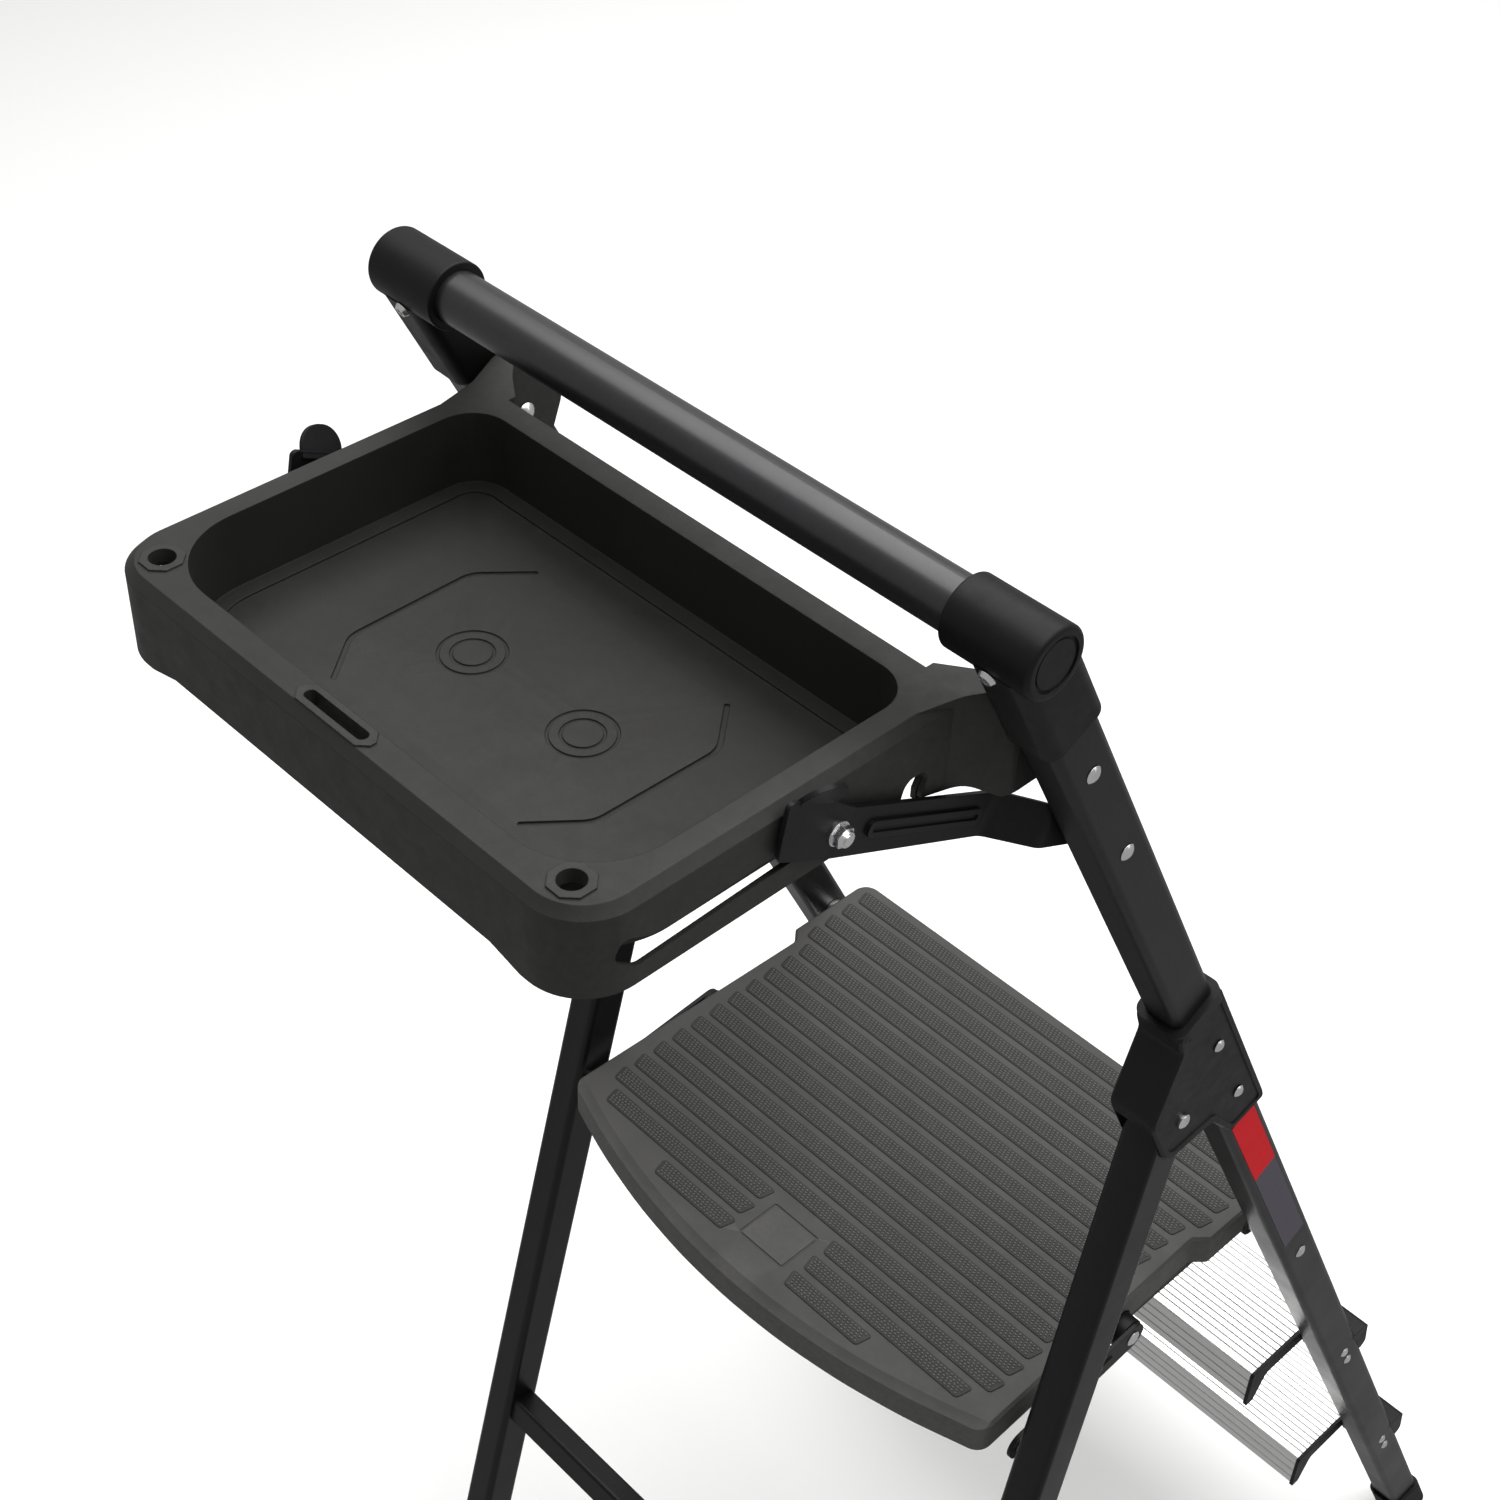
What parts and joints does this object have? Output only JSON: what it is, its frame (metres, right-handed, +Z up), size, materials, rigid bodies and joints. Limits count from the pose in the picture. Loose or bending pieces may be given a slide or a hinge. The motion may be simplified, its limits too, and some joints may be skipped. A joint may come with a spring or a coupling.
{
  "type": "step ladder",
  "caption": "Folding ladder with ribbed steps, a wide textured platform, a handrail across the top and a fold-down tool tray with support arms.",
  "frame": {"origin": "on the floor under the middle of the whole object, ladder open and tray open", "axes": "+Z up, +X along the handrail, +Y the way the tray reaches; the climber faces +Y from the -Y side"},
  "size_m": [0.53, 0.9658, 1.402],
  "materials": {
    "frame_black": "satin black powder coat on steel tube",
    "handrail_black": "smooth semi-gloss black coat",
    "moulded_black": "fine-grained black moulding",
    "moulded_grey": "fine-grained warm dark grey moulding",
    "stamped_black": "satin black coat on stamped steel",
    "ribbed_aluminium": "mill-finish ribbed extrusion",
    "rubber_black": "matt black rubber",
    "zinc": "zinc-plated rivets, pins and nuts",
    "label_red": "printed film",
    "label_grey": "printed film"
  },
  "bodies": {
    "front_frame": {"arm_pins": "zinc", "grip_socket_left": "moulded_black", "grip_socket_right": "moulded_black", "handrail_tube": "handrail_black", "knee_pins": "zinc", "knuckle_left": "moulded_black", "knuckle_right": "moulded_black", "knuckle_rivets": "zinc", "label_grey": "label_grey", "label_red": "label_red", "main_rail_left": "frame_black", "main_rail_right": "frame_black", "platform_pins": "zinc", "rail_foot_left": "rubber_black", "rail_foot_right": "rubber_black", "socket_screws": "zinc", "step_1_end_left": "moulded_black", "step_1_end_right": "moulded_black", "step_1_rivets": "zinc", "step_1_tread": "ribbed_aluminium", "step_2_end_left": "moulded_black", "step_2_end_right": "moulded_black", "step_2_rivets": "zinc", "step_2_tread": "ribbed_aluminium", "tray_pins": "zinc"},
    "rear_frame": {"crossbar_rivets": "zinc", "leg_foot_left": "rubber_black", "leg_foot_right": "rubber_black", "link_studs": "zinc", "rear_crossbar_lower": "frame_black", "rear_crossbar_upper": "frame_black", "rear_leg_left": "frame_black", "rear_leg_right": "frame_black"},
    "platform": {"link_pins": "zinc", "platform_crossbar_back": "stamped_black", "platform_crossbar_front": "stamped_black", "platform_frame_left": "stamped_black", "platform_frame_right": "stamped_black", "platform_top": "moulded_grey"},
    "links": {"link_plate_left": "stamped_black", "link_plate_right": "stamped_black"},
    "tray": {"tray_shell": "moulded_grey"},
    "tray_arms": {"arm_bolts": "zinc", "arm_nuts": "zinc", "tray_arm_left": "stamped_black", "tray_arm_right": "stamped_black"}
  },
  "joints": [
    {"name": "rear_fold", "type": "hinge", "parent": "front_frame", "child": "rear_frame", "pos_m": [0, 0.08109, 0.95697], "axis": [-1, 0, 0], "range_deg": [0, 39.5]},
    {"name": "platform_fold", "type": "hinge", "parent": "front_frame", "child": "platform", "pos_m": [0, -0.10911, 0.67605], "axis": [1, 0, 0], "range_deg": [0, 62.1]},
    {"name": "link_swing", "type": "hinge", "parent": "platform", "child": "links", "pos_m": [0, 0.03389, 0.67605], "axis": [-1, 0, 0], "range_deg": [0, 153.1]},
    {"name": "tray_fold", "type": "hinge", "parent": "front_frame", "child": "tray", "pos_m": [0, 0.20996, 1.28898], "axis": [-1, 0, 0], "range_deg": [0, 117.5]},
    {"name": "arm_fold", "type": "hinge", "parent": "front_frame", "child": "tray_arms", "pos_m": [0, 0.17348, 1.2189], "axis": [-1, 0, 0], "range_deg": [0, 144.1]}
  ],
  "couplings": [
    {"joint": "platform_fold", "follows": "rear_fold", "ratio": 1.5696},
    {"joint": "link_swing", "follows": "rear_fold", "ratio": 3.8734},
    {"joint": "arm_fold", "follows": "tray_fold", "ratio": 1.2255}
  ]
}
